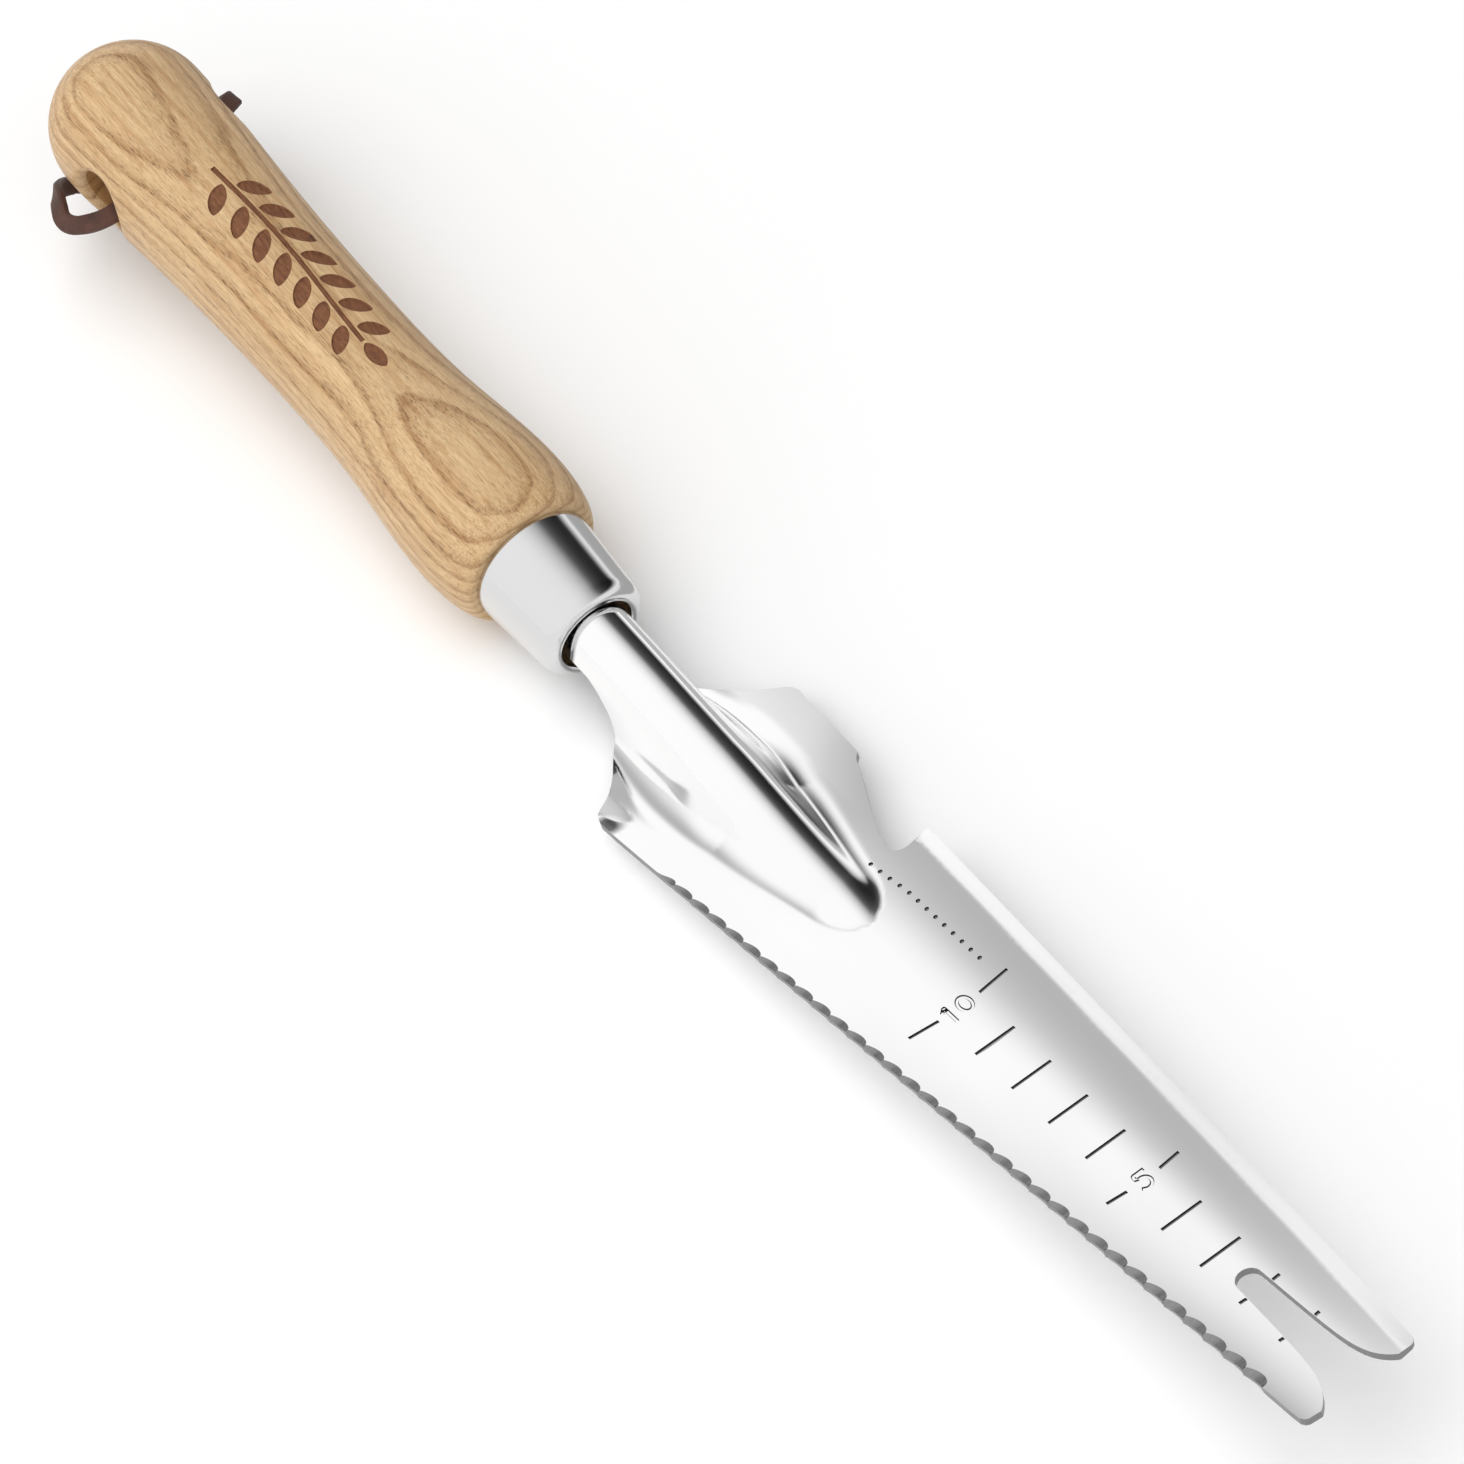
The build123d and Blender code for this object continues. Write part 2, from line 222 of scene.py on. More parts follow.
def ash_wood(name, end=(0.73, 0.52, 0.285), line=(0.32, 0.15, 0.05), roughness=0.40):
    """Ring-porous ash, flat-sawn: the rings are shells round a pith far below."""
    wood = Shader(name, Specular_IOR_Level=0.4)

    def shifted(noise, amount):
        return wood.math("MULTIPLY", wood.math("SUBTRACT", noise, 0.5), amount)

    _, y, z = wood.add("SeparateXYZ", {0: wood.millimetres()}).outputs
    drift = shifted(wood.noise((0.013, 0.06, 0.06), 2.0), 6.5)
    ripple = shifted(wood.noise((0.05, 0.30, 0.30), 2.0), 0.8)
    below = wood.math("ADD", z, PITH_BELOW)
    beside = wood.math("SUBTRACT", y, PITH_RIGHT)
    squares = wood.math("MULTIPLY", below, below), wood.math("MULTIPLY", beside, beside)
    shell = wood.math("SQRT", wood.math("ADD", *squares))
    wavy = wood.math("ADD", wood.math("ADD", shell, drift), ripple)
    phase = wood.math("DIVIDE", wavy, RING_SPACING)
    ring = wood.math("FRACT", phase)
    # a ring's boldness passes smoothly into the next one's
    which = wood.math("FLOOR", wood.math("ADD", phase, 0.5))
    boldness = wood.add("TexWhiteNoise", {"W": which}, noise_dimensions="1D").outputs["Value"]
    patches = wood.noise((0.03, 0.15, 0.15), 2.0, offset=(40, 0, 0))
    bold = wood.math(
        "MULTIPLY", wood.span(boldness, 0, 1, 0.45, 1.0), wood.span(patches, 0.3, 0.6, 0.5, 1)
    )
    early = wood.ramp(
        ring,
        [(0.0, (1, 1, 1)), (0.08, (0.9,) * 3), (0.2, (0.45,) * 3), (0.42, (0.16,) * 3),
         (0.7, (0.0,) * 3), (0.90, (0.12,) * 3), (1.0, (1, 1, 1))],
    )
    pores = wood.noise((0.34, 6.5, 6.5), 2.0, 0.6)
    dashes = wood.span(pores, 0.53, 0.61, 0.0, 1.0)
    fibre = wood.noise((0.10, 3.2, 3.2), 4.0, 0.6)
    streaks = wood.noise((0.02, 0.9, 0.9), 3.0, 0.6, offset=(7, 3, 1))
    cloud = wood.noise((0.02, 0.12, 0.12), 2.0)
    ground = wood.mix(wood.span(cloud, 0.3, 0.7, 0, 1), end, tuple(0.88 * c for c in end))
    ground = wood.mix(wood.span(fibre, 0.35, 0.7, 0, 0.42), ground, tuple(1.35 * c for c in line))
    ground = wood.mix(wood.span(streaks, 0.48, 0.70, 0, 0.55), ground, tuple(1.25 * c for c in line))
    shade = wood.math("MULTIPLY", early, bold)
    speckle = wood.math(
        "MULTIPLY", dashes, wood.math("ADD", wood.math("MULTIPLY", shade, 0.80), 0.32)
    )
    figured = wood.mix(wood.math("MULTIPLY", shade, 0.80), ground, line)
    colour = wood.mix(speckle, figured, tuple(0.45 * c for c in line))
    wood.bump(wood.math("MULTIPLY", speckle, -1.0), 0.05, 0.6)
    gloss = wood.span(fibre, 0.3, 0.7, roughness - 0.05, roughness + 0.08)
    return wood.finish(Base_Color=colour, Roughness=gloss)


def burned_wood():
    wood = Shader("burned_ash", Specular_IOR_Level=0.3)
    char = wood.noise((0.5, 2.2, 2.2), 4.0, 0.6)
    colour = wood.ramp(char, [(0.3, (0.115, 0.042, 0.018)), (0.7, (0.25, 0.105, 0.048))])
    wood.bump(char, 0.06)
    return wood.finish(Base_Color=colour, Roughness=wood.span(char, 0, 1, 0.5, 0.75))


def polished_steel(name, colour=0.86, low=0.05, high=0.11):
    """Mirror-polished stainless, with the faint lines that the mop leaves."""
    steel = Shader(name, Metallic=1.0)
    lines = steel.noise((0.04, 6.0, 6.0), 2.0, 0.5)
    haze = steel.noise((0.02, 0.05, 0.05), 2.0, 0.5)
    tone = steel.ramp(haze, [(0.3, (colour,) * 3), (0.7, (colour * 0.96,) * 3)])
    steel.bump(lines, 0.0006, 0.35)
    return steel.finish(Base_Color=tone, Roughness=steel.span(haze, 0.3, 0.7, low, high))


def ground_steel(name, colour=0.62, roughness=0.3, grain=(3.0, 0.4, 0.4)):
    """Steel as the grinding wheel leaves it, with its lines across the edge."""
    steel = Shader(name, Metallic=1.0)
    lines = steel.noise(grain, 3.0, 0.6)
    tone = steel.ramp(lines, [(0.3, (colour * 0.82,) * 3), (0.7, (colour,) * 3)])
    steel.bump(lines, 0.006, 0.5)
    return steel.finish(
        Base_Color=tone, Roughness=steel.span(lines, 0.3, 0.7, roughness - 0.06, roughness + 0.08)
    )


def leather():
    hide = Shader("thong_leather", Specular_IOR_Level=0.35)
    pebble = hide.add(
        "TexVoronoi", {"Vector": hide.millimetres((2.4, 2.4, 2.4)), "Scale": 1.0}
    ).outputs["Distance"]
    blotch = hide.noise((0.25, 0.25, 0.25), 4.0, 0.6)
    colour = hide.ramp(blotch, [(0.3, (0.050, 0.022, 0.016)), (0.7, (0.105, 0.048, 0.034))])
    hide.bump(hide.math("ADD", pebble, blotch), 0.12, 0.5)
    return hide.finish(Base_Color=colour, Roughness=hide.span(blotch, 0.3, 0.7, 0.55, 0.75))


WOOD = ash_wood("ash")
BORE_WOOD = ash_wood("ash_bore", end=(0.50, 0.27, 0.10), line=(0.26, 0.12, 0.04), roughness=0.7)
BURNED = burned_wood()
BLADE_STEEL = polished_steel("blade_steel", 0.95, 0.07, 0.12)
FERRULE_STEEL = polished_steel("ferrule_steel", 0.74, 0.11, 0.17)
GROUND = ground_steel("ground_edge", 0.30, 0.3)
SHEARED = ground_steel("sheared_edge", 0.26, 0.34)
# the near-black colour of the marks' groove walls is painted shade, standing in for the dark that the
# grooves show; their roughness is the walls' own matte finish
PAINTED_SHADE_WALLS = ground_steel("mark_wall_painted_shade", 0.045, 0.5)
MARK_FLOOR = ground_steel("mark_floor", 0.30, 0.4)
TANG_STEEL = ground_steel("tang_steel", 0.42, 0.38, (0.3, 3.0, 3.0))
LEATHER = leather()


# ---- Mesh helpers ----
def make_mesh(name, points, faces, materials, kinds=None, normals=None, merge=False):
    """A mesh object from points in millimetres; kinds picks each face's material."""
    mesh = bpy.data.meshes.new(name)
    mesh.from_pydata([tuple(p) for p in np.asarray(points) * MM], [], faces)
    for material in materials:
        mesh.materials.append(material)
    if kinds is not None:
        mesh.polygons.foreach_set("material_index", kinds)
    if merge:
        weld(mesh)
    mesh.polygons.foreach_set("use_smooth", [True] * len(mesh.polygons))
    mesh.update()
    if normals is None:
        mesh.set_sharp_from_angle(angle=radians(35))
    else:
        mesh.normals_split_custom_set([tuple(n) for n in normals])
    piece = bpy.data.objects.new(name, mesh)
    bpy.context.collection.objects.link(piece)
    return piece


def weld(mesh):
    work = bmesh.new()
    work.from_mesh(mesh)
    bmesh.ops.remove_doubles(work, verts=work.verts, dist=2e-6)
    bmesh.ops.recalc_face_normals(work, faces=work.faces)
    work.to_mesh(mesh)
    work.free()


def ring_quad(row, column, around, start=0):
    """The face between a ring of points and the next, at one column."""
    low = start + row * around
    beside = (column + 1) % around
    return low + column, low + beside, low + around + beside, low + around + column


def tube_faces(rings, around, start=0):
    """The faces of a closed tube of rings of points, with its two ends."""
    faces = [ring_quad(r, c, around, start) for r in range(rings - 1) for c in range(around)]
    last = start + (rings - 1) * around
    faces.append(tuple(range(start, start + around)))
    faces.append(tuple(reversed(range(last, last + around))))
    return faces


def holds(shape, point):
    """Whether a closed shape holds a point."""
    if (np.abs(shape - point).min(axis=0) > 6).any():
        return False
    (a, b), (c, d) = shape.T, np.roll(shape, -1, axis=0).T
    crosses = (b > point[1]) != (d > point[1])
    at = a + (point[1] - b) * (c - a) / np.where(crosses, d - b, 1)
    return bool((crosses & (point[0] < at)).sum() % 2)


class Layout:
    """A flat layout of outlines, lines and loose points, to be triangulated and lifted."""

    def __init__(self):
        self.points, self.edges, self.sunk, self.shapes = [], [], [], []

    def line(self, points, closed=False, sunk=0.0):
        first = len(self.points)
        self.points += [tuple(p) for p in points]
        self.sunk += [sunk] * len(points)
        run = list(range(first, len(self.points)))
        self.edges += list(zip(run, run[1:] + run[:1] if closed else run[1:]))
        return run

    def groove(self, outer, inner, depth):
        """A closed shape whose floor lies depth below the surface."""
        self.line(outer, closed=True)
        self.line(inner, closed=True, sunk=depth)
        self.shapes.append(np.array(outer))

    def fill(self, candidates, clearance):
        """Loose points, except those nearer than clearance to a line."""
        tree = kdtree.KDTree(len(self.points))
        for i, (a, b) in enumerate(self.points):
            tree.insert((a, b, 0), i)
        tree.balance()
        kept = [p for p in candidates if tree.find((p[0], p[1], 0))[2] > clearance]
        kept = [p for p in kept if not any(holds(shape, p) for shape in self.shapes)]
        self.points += kept
        self.sunk += [0.0] * len(kept)

    def triangulate(self, outline):
        places = [Vector(p) for p in self.points]
        verts, _, faces, origins, _, _ = delaunay_2d_cdt(places, self.edges, [outline], 1, 1e-6)
        depth = np.array([max((self.sunk[i] for i in o), default=0.0) for o in origins])
        return np.array([tuple(v) for v in verts]), [tuple(f) for f in faces], depth


# ---- Blade surface ----
def half_width(k):
    return TIP_HALF_WIDTH + WIDENING * np.asarray(k, float)


def trough(k, y):
    """The dish of the blade: how far its upper face has risen at y."""
    edge_rise = 2.75 - 1.3 * np.exp(-np.maximum(k, -10.0) / 35)
    # the right wing is flatter beside the ridge
    flat_wing = 0.6 * smooth(k, 140, 170) * (y > 0)
    # the left wing's rear corner curls up a little
    curl = 0.8 * smooth(k, 171.0, 176.5) * smooth(-y, 15.5, 20.0)
    return curl + edge_rise * (
        (1 - flat_wing) * (y / half_width(k)) ** 2 + flat_wing * smooth(np.abs(y), 2.0, 13.0)
    )


STEPS = 48  # of the sums over the crest and the root
STEP_MIDDLES = (np.arange(STEPS) + 0.5) / STEPS
CREST_STRETCH, ROOT_STRETCH = 1.57, 1.5  # length of a turn, in radii times its angle


def crest_turn(part):
    """How the slope grows over the crest, as a part of the wall's slope."""
    return np.sin(pi / 2 * np.clip(part, 0, 1))


def root_turn(part):
    """The same over the root, where the slope dies away."""
    part = np.clip(part, 0, 1)
    return 1 - part * part * (3 - 2 * part)


def mean_sine(lean, turn):
    """The mean sine of the slope over a turn whose steepest slope is lean."""
    return np.sin(lean[..., None] * turn(STEP_MIDDLES)).mean(axis=-1)


def ridge_shape(k):
    """The raised ridge at k: its height and slope, and how long its crest, wall and root are."""
    axis_height = k * tan(PITCH) - TIP_RISE / cos(PITCH)
    # the nose is blunt, like a thumb, and the ridge stays low for a way behind it
    blunt = 1 - (1 - np.clip((k - NOSE_K) / 9, 0, 1)) ** 2.4
    blunt = blunt * smooth(k, NOSE_K - 0.8, NOSE_K + 1.6)
    low = 0.72 + 0.28 * smooth(k, 134, 166)
    height = np.maximum(axis_height + NECK_R / cos(PITCH), 0) * blunt * low
    steep = np.radians(60 + 25 * smooth(k, 160, 196))
    crest = 5.1 + 0.3 * smooth(k, 168, 194)
    root = 3.6 + 1.8 * smooth(k, 130, 156) - 3.0 * smooth(k, 172, 194)

    def turns(lean):
        """The lengths of the crest and the root at this slope, and the height they span."""
        crest_run, root_run = crest * lean * CREST_STRETCH, root * lean * ROOT_STRETCH
        spanned = crest_run * mean_sine(lean, crest_turn) + root_run * mean_sine(lean, root_turn)
        return crest_run, root_run, spanned

    # near its nose the ridge is too low to reach its full slope
    lean = steep
    for _ in range(14):
        spanned = turns(lean)[2]
        growth = np.sqrt(np.maximum(height, 1e-9) / np.maximum(spanned, 1e-9))
        lean = np.minimum(steep, lean * growth)
    crest_run, root_run, spanned = turns(lean)
    wall = np.maximum(height - spanned, 0) / np.sin(np.maximum(lean, 0.05))
    return height, lean, crest_run, wall, root_run


def section(k, u):
    """y and height of the bare ridge at the developed distance u from the middle line."""
    k, u = np.broadcast_arrays(np.asarray(k, float), np.asarray(u, float))
    height, lean, crest_run, wall, root_run = ridge_shape(k)
    v = np.abs(u)
    y, h = np.zeros_like(v), height.copy()
    for run, start, turn in (
        (crest_run, 0.0, crest_turn), (wall, crest_run, np.ones_like),
        (root_run, crest_run + wall, root_turn),
    ):
        part = np.clip(v - start, 0, run)
        share = part / np.maximum(run, 1e-9)
        slope = lean[..., None] * turn(share[..., None] * STEP_MIDDLES)
        y = y + part * np.cos(slope).mean(axis=-1)
        h = h - part * np.sin(slope).mean(axis=-1)
    y = y + np.maximum(v - crest_run - wall - root_run, 0)
    return np.sign(u) * y, h


def bisect(high, short):
    """The furthest distance, up to high, that still falls short."""
    low = 0.0
    for _ in range(30):
        middle = (low + high) / 2
        if short(middle):
            low = middle
        else:
            high = middle
    return low


def developed(k, y):
    """The developed distance that lands on y."""
    k, y = float(k), float(y)
    found = bisect(abs(y) + 30.0, lambda u: section(k, u)[0] < abs(y))
    return found if y >= 0 else -found


def wall_at(k, h):
    """The developed distance down to height h on the neck's wall."""
    return bisect(40.0, lambda u: section(k, u)[1] > h)


def tooth_place(k):
    """Which tooth k is in, counted from the tip, and how far through it."""
    place = (np.asarray(k, float) - FIRST_TOOTH_K) / TOOTH_PITCH + 0.5
    return place, place - np.floor(place)


def tooth_part(k):
    """How far each tooth's ground facet reaches in at k, and how strong the tooth is."""
    place, part = tooth_place(k)
    part = np.clip(part, 1e-6, 1 - 1e-6)
    inside = (place > 0) & (place < TEETH)
    strength = 1 - 0.38 * np.clip(place / TEETH, 0, 1)
    strength = np.where(inside, strength * smooth(TEETH - place, 0, 0.9), 0)
    return np.sin(pi * part**0.78) ** 0.75, strength


def left_edge(k):
    shape, strength = tooth_part(k)
    return half_width(k) - np.maximum(0.62 * strength - 0.30, 0) * shape


def tooth_inner(k):
    """The inner end of the ground facet, measured from the middle line."""
    shape, strength = tooth_part(k)
    return half_width(k) - 1.8 * strength * (0.40 + 0.60 * shape)


BLADE_UP = UPWARD * cos(PITCH) - ALONG * sin(PITCH)


def blade_place(k, y, h):
    """Row-frame points from the blade's own plan and height."""
    s = TIP_S - k * cos(PITCH) - h * sin(PITCH)
    rise = TIP_RISE - k * sin(PITCH) + h * cos(PITCH)
    return in_row(s, y, rise)


PLAIN, BEVELLED, FACETED = 0, 1, 2


def blade_surface(k, u, region):
    """The upper face, with the bevel or the facets carried on past their own edges."""
    y, h = section(k, u)
    h = h + trough(k, y)
    if region == BEVELLED:
        inward = y - half_width(k) + BEVEL_WIDTH
        eased = inward - BEVEL_EASE * (1 - np.exp(-np.maximum(inward, 0) / BEVEL_EASE))
        h = h - eased * BEVEL_DROP / BEVEL_WIDTH
    if region == FACETED:
        h = h - (-y - tooth_inner(k)) * FACET_SLOPE * (0.7 + 0.6 * tooth_place(k)[1])
    return blade_place(k, y, h)


def surface_normals(k, u, region, step=0.02):
    along_k = blade_surface(k + step, u, region) - blade_surface(k - step, u, region)
    along_u = blade_surface(k, u + step, region) - blade_surface(k, u - step, region)
    normal = np.cross(along_u, along_k)
    normal /= np.linalg.norm(normal, axis=-1, keepdims=True)
    flip = np.where(normal @ UPWARD < -0.3, -1.0, 1.0)
    return normal * flip[..., None]


def catmull(points, steps):
    """A smooth run through the points."""
    p = np.array([points[0], *points, points[-1]], float)
    run = []
    for a, b, c, d in zip(p, p[1:], p[2:], p[3:]):
        for t in np.linspace(0, 1, steps, endpoint=False):
            run.append(
                0.5 * (2 * b + (c - a) * t + (2 * a - 5 * b + 4 * c - d) * t**2
                       + (3 * b - a - 3 * c + d) * t**3)
            )
    return run + [p[-1]]


# ---- Blade outline: the right side from neck to tip, the slot, and the left side back ----
AXIS_POINTS = (208.2, 204.0, 200.0, 196.5)  # where the neck's edge is level with the axis
NECK_SWEEP = [(194.6, 9.9), (192.9, 8.0), (191.4, 5.6)]  # (k, height) down the neck's wall
WING = [(190.3, 7.75), (189.0, 9.2), (187.0, 10.7), (183.7, 13.0), (180.7, 15.7), (178.3, 18.3),
        (176.6, 20.0), (174.8, 20.75)]  # (k, y) out along the wing to its corner
NOTCH = [(155.6, 19.6), (154.6, 18.55), (152.8, 17.9), (149.2, 16.3), (144.5, 14.2),
         (139.7, 12.3), (137.3, 11.6), (135.7, 11.3), (134.3, 11.9), (133.4, 13.1),
         (NOTCH_FRONT_K, NOTCH_BEVEL_Y)]
HORN = [(133.3, 17.0), (133.7, 18.0), (133.1, 18.4)]
SLOT_ROOT_K, SLOT_R = 22.6, 2.3


def slot_half(k):
    """Half the fork's slot, which opens into a funnel between the prongs."""
    return SLOT_R + 0.045 * (SLOT_ROOT_K - k) + 4.0 * np.exp(-(k + PRONG_END) / 3.4)


def laid(points):
    """(k, y) points in the developed layout, where the ridge takes up some of the sheet."""
    return [(float(k), developed(k, y) if k > FLAT_K else float(y)) for k, y in points]


def neck_and_wing(side):
    run = []
    for k in AXIS_POINTS:
        edge_height = k * tan(PITCH) - (TIP_RISE + 0.5) / cos(PITCH)
        run.append((k, side * wall_at(k, edge_height)))
    run += [(k, side * wall_at(k, h)) for k, h in NECK_SWEEP]
    run += laid([(k, side * y) for k, y in WING])
    return [tuple(p) for p in catmull(run, 5)]


bevel_ks = np.arange(131.5, -4.0, -2.0)
bevel_end = (-PRONG_END, half_width(-PRONG_END) - BEVEL_WIDTH)
PRONG_CORNER = [(-4.3, 10.95), (-4.95, 10.5), (-PRONG_END, 9.9)]

right = neck_and_wing(1)
right += laid([(k, half_width(k)) for k in np.arange(173.0, 156.5, -2.0)])
right += [tuple(p) for p in catmull(laid(NOTCH), 3)]
right += laid(HORN + [(k, half_width(k)) for k in bevel_ks])
right += PRONG_CORNER + [bevel_end]
funnel_ks = (-5.15, -4.7, -4.0, -3.0, -1.8, -0.4, 1.2, 3.0, 5.0, 8.0, 12.0, 17.0)
slot_side = [(k, slot_half(k)) for k in funnel_ks]
slot_root = [
    (SLOT_ROOT_K + SLOT_R * cos(a), SLOT_R * sin(a)) for a in np.linspace(pi / 2, -pi / 2, 17)
]
slot = slot_side + slot_root + [(k, -y) for k, y in reversed(slot_side)]

tooth_steps = (0.0, 0.05, 0.12, 0.22, 0.34, 0.48, 0.62, 0.76, 0.9)
tooth_ks = [
    FIRST_TOOTH_K + (i - 0.5 + t) * TOOTH_PITCH for i in range(TEETH) for t in tooth_steps
]
teeth_end_k = FIRST_TOOTH_K + (TEETH - 0.5) * TOOTH_PITCH
left = [(k, -y) for k, y in reversed(PRONG_CORNER)]
left += [(k, -half_width(k)) for k in (-2.0, 0.0, 2.0)]
left += [(k, -left_edge(k)) for k in tooth_ks]
left += [(k, -half_width(k)) for k in np.arange(teeth_end_k, 174.0, 2.0)]
left = laid(left) + list(reversed(neck_and_wing(-1)))

plan = Layout()
blade_outline = plan.line(right + slot + left, closed=True)


# ---- Marks on the blade ----
WALL = 0.16  # run of a groove's sloping wall
THIN_WALL, THIN_DEPTH = 0.15, 0.2  # the same in the numbers


def box_loop(k, y, half_k, half_y, inset=0.0):
    a, b = half_k - inset, half_y - inset
    return [(k - a, y - b), (k + a, y - b), (k + a, y + b), (k - a, y + b)]


def tick(k, inner, outer):
    middle, half = (inner + outer) / 2, (outer - inner) / 2
    plan.groove(
        box_loop(k, middle, MARK_WIDTH / 2, half),
        box_loop(k, middle, MARK_WIDTH / 2, half, WALL),
        MARK_DEPTH,
    )


def stroke_loop(run, half):
    """The outline of a pen stroke of that half width along a run of points."""
    run = np.array(run, float)
    ahead = np.gradient(run, axis=0)
    ahead /= np.linalg.norm(ahead, axis=1, keepdims=True)
    beside = np.stack((-ahead[:, 1], ahead[:, 0]), axis=1) * half
    first, last = run[0] - ahead[0] * half, run[-1] + ahead[-1] * half
    one, other = run + beside, run - beside
    one[0], other[0] = first + beside[0], first - beside[0]
    one[-1], other[-1] = last + beside[-1], last - beside[-1]
    return [tuple(p) for p in one] + [tuple(p) for p in other[::-1]]


def stroke(run):
    plan.groove(stroke_loop(run, PEN_HALF), stroke_loop(run, PEN_HALF - THIN_WALL), THIN_DEPTH)


def figure_one(k, y):
    flag = [(k + 1.05, y - 0.75), (k + 1.5, y - 0.3), (k + 1.72, y - 0.05)]
    stem = [(k + 1.2, y), (k, y), (k - 1.85, y)]
    stroke(catmull(flag + stem, 3))


def figure_nought(k, y):
    loops = []
    for grow in (PEN_HALF, PEN_HALF - THIN_WALL, THIN_WALL - PEN_HALF, -PEN_HALF):
        half_k, half_y = 1.7 + grow, 1.12 + grow
        loops.append([(k + half_k * sin(a), y + half_y * cos(a)) for a in full_turn(24)])
    plan.groove(loops[0], loops[1], THIN_DEPTH)
    plan.line(loops[2], closed=True, sunk=THIN_DEPTH)
    plan.line(loops[3], closed=True)


def figure_five(k, y):
    angles = np.linspace(2.2, -2.3, 12)
    bowl = [(k - 0.45 + 1.25 * sin(a), y - 0.12 + 1.2 * cos(a)) for a in angles]
    run = [(k + 1.85, y + 1.0), (k + 1.85, y - 0.1), (k + 1.8, y - 0.75), (k + 1.1, y - 0.85),
           (k + 0.35, y - 0.95)]
    stroke(catmull(run, 3)[:-1] + bowl[1:])


def rule_marks():
    for k in (30, 40, 60, 70, 80, 90):
        tick(k, -MARK_HALF, MARK_HALF)
    # the marks beside the numbers are split, and so are those that the slot cuts
    split = [(50, 3.23, 7.16), (100, 4.14, 9.99)]
    split += [(k, float(slot_half(k)) + 0.12, MARK_HALF) for k in (10, 20)]
    for k, inner, outer in split:
        tick(k, inner, outer)
        tick(k, -outer, -inner)
    figure_one(100, -1.9)
    figure_nought(100, 1.1)
    figure_five(50, 0.0)


def punch_dots():
    for i in range(DOTS):
        dot_k, dot_y = FIRST_DOT[0] + DOT_SPACING * i, FIRST_DOT[1]
        for radius, sunk in ((DOT_R, 0.0), (DOT_FLOOR_R, MARK_DEPTH)):
            ring = [(dot_k + radius * cos(a), dot_y + radius * sin(a)) for a in full_turn(10)]
            plan.line(ring, closed=True, sunk=sunk)


def edge_lines():
    """The inner line of the bevel, a second line in its easing, and the facets' outlines."""
    bevel_line = [(k, half_width(k) - BEVEL_WIDTH) for k in bevel_ks]
    plan.line(laid([(NOTCH_FRONT_K, NOTCH_BEVEL_Y)] + bevel_line) + [bevel_end])
    plan.line(laid([(k, half_width(k) - BEVEL_WIDTH + 0.8) for k in bevel_ks]))
    just_inside = 1e-4
    last_k = teeth_end_k - 0.01
    last_inner = (last_k, -tooth_inner(last_k))
    inner_ends = [(k, -tooth_inner(k + just_inside)) for k in tooth_ks]
    plan.line(laid(inner_ends + [last_inner]))
    for k in tooth_ks[:: len(tooth_steps)]:
        plan.line(laid([(k, -tooth_inner(k + just_inside)), (k, -left_edge(k))]))
    plan.line(laid([last_inner, (teeth_end_k, -half_width(teeth_end_k))]))


def loose_points(step=0.9, reach=34.0):
    """A staggered grid over the sheet, finer where the ridge is."""
    grid = []
    for k in np.arange(-4.4, 208.0, step):
        spacing = 0.6 if k > FLAT_K - 1 else 1.2
        for u in np.arange(-reach, reach, spacing):
            grid.append((k + (step / 2 if round(u / spacing) % 2 else 0.0), u))
    return grid


rule_marks()
punch_dots()
edge_lines()
plan.fill(loose_points(), 0.42)
flat, triangles, sunk = plan.triangulate(blade_outline)
# points outside the outline belong to no triangle
used, triangles = np.unique(np.array(triangles), return_inverse=True)
flat, triangles, sunk = flat[used], triangles.reshape(-1, 3), sunk[used]


# ---- Blade mesh ----
POLISHED, WHEEL_GROUND, CUT, MARK_WALL, MARK_BED = range(5)  # the blade's material slots


def regions_of(k, u):
    """Which of the three surfaces triangles centred here belong to."""
    y, _ = section(k, u)
    bevelled = (y > half_width(k) - BEVEL_WIDTH) & (k < NOTCH_FRONT_K + 0.3)
    in_teeth = (k > FIRST_TOOTH_K - TOOTH_PITCH / 2) & (k < teeth_end_k)
    faceted = in_teeth & (-y > tooth_inner(k))
    return np.where(bevelled, BEVELLED, np.where(faceted, FACETED, PLAIN))


def cross_of(points, tri):
    """The cross product of each triangle's sides."""
    a, b, c = points[tri[:, 0]], points[tri[:, 1]], points[tri[:, 2]]
    return np.cross(b - a, c - a)


def sheet_points(tri, regions):
    """The sheet's upper and lower points, and the directions that the lower ones face."""
    of_vertex = np.zeros(len(flat), int)
    for region in (BEVELLED, FACETED):
        of_vertex[tri[regions == region]] = region
    top = np.zeros((len(flat), 3))
    for region in (PLAIN, BEVELLED, FACETED):
        chosen = of_vertex == region
        top[chosen] = blade_surface(flat[chosen, 0], flat[chosen, 1], region)
    base = blade_surface(flat[:, 0], flat[:, 1], PLAIN)
    up = surface_normals(flat[:, 0], flat[:, 1], PLAIN)
    top -= up * sunk[:, None]
    # the sheet's edges are cut straight down, so the underside lies straight below the dish
    lean = smooth(np.abs(up[:, 1]), 0.4, 0.75)[:, None]
    straight = BLADE_UP / (up @ BLADE_UP)[:, None]
    bottom = base - (up * lean + straight * (1 - lean)) * SHEET
    return top, bottom, -up


def corner_normals(tri, middles, regions):
    """The upper face's true normals, taken just inside each triangle's corners."""
    near = flat[tri] * 0.9 + middles[:, None] * 0.1
    corner = np.zeros((len(tri), 3, 3))
    for region in (PLAIN, BEVELLED, FACETED):
        chosen = regions == region
        corner[chosen] = surface_normals(near[chosen][..., 0], near[chosen][..., 1], region)
    return corner


